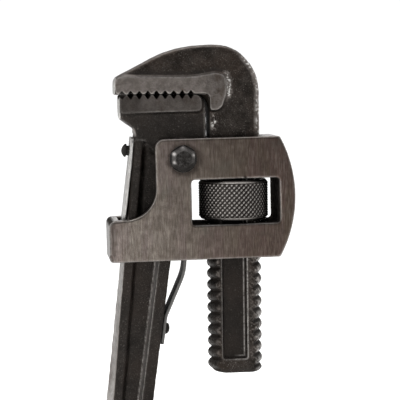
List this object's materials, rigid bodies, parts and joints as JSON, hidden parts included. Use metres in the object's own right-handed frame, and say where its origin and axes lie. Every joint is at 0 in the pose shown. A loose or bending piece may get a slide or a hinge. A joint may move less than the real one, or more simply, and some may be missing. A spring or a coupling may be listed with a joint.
{
  "type": "pipe wrench",
  "caption": "Adjustable pipe wrench with toothed jaws, a knurled nut in a rocking frame, leaf springs and a hanging hole.",
  "frame": {"origin": "centre of the hanging hole in the handle's eye", "axes": "+X from the handle's edge to the back of the hook jaw, +Y from the pictured face to the back face, +Z along the threaded shank from the eye to the jaws"},
  "size_m": [0.1062, 0.0384, 0.2962],
  "materials": {
    "forged_steel": "rough forged, dark brown-black, with the pads, edges and rims worn to grey metal",
    "ground_steel": "ground and brushed, warm grey",
    "dark_steel": "machined and darkened, bright on worn edges",
    "spring_steel": "oil-blackened leaf spring"
  },
  "bodies": {
    "handle_body": {"handle": "forged_steel", "back_spring": "spring_steel", "back_spring_screw": "dark_steel", "front_spring": "spring_steel", "front_spring_rivet": "dark_steel"},
    "frame_body": {"frame": "ground_steel", "frame_pin": "dark_steel", "frame_pin_nut": "dark_steel"},
    "nut_body": {"adjusting_nut": "dark_steel"},
    "hook_body": {"hook_jaw": "forged_steel"}
  },
  "joints": [
    {"name": "frame_pivot", "type": "hinge", "parent": "handle_body", "child": "frame_body", "pos_m": [0.0409, 0, 0.2308], "axis": [0, 1, 0], "range_deg": [0, 2.5], "stiffness_Nm_per_rad": 3, "springref_deg": -5.73, "deforming": ["back_spring", "front_spring"]},
    {"name": "nut_spin", "type": "hinge", "parent": "frame_body", "child": "nut_body", "pos_m": [0.0666, 0, 0.21045], "axis": [0, 0, -1], "range_deg": [0, 3960]},
    {"name": "hook_slide", "type": "slide", "parent": "frame_body", "child": "hook_body", "axis": [0, 0, 1], "range_m": [0, 0.0608]}
  ],
  "couplings": [
    {"joint": "nut_spin", "follows": "hook_slide", "rad_per_m": 1136.2}
  ]
}
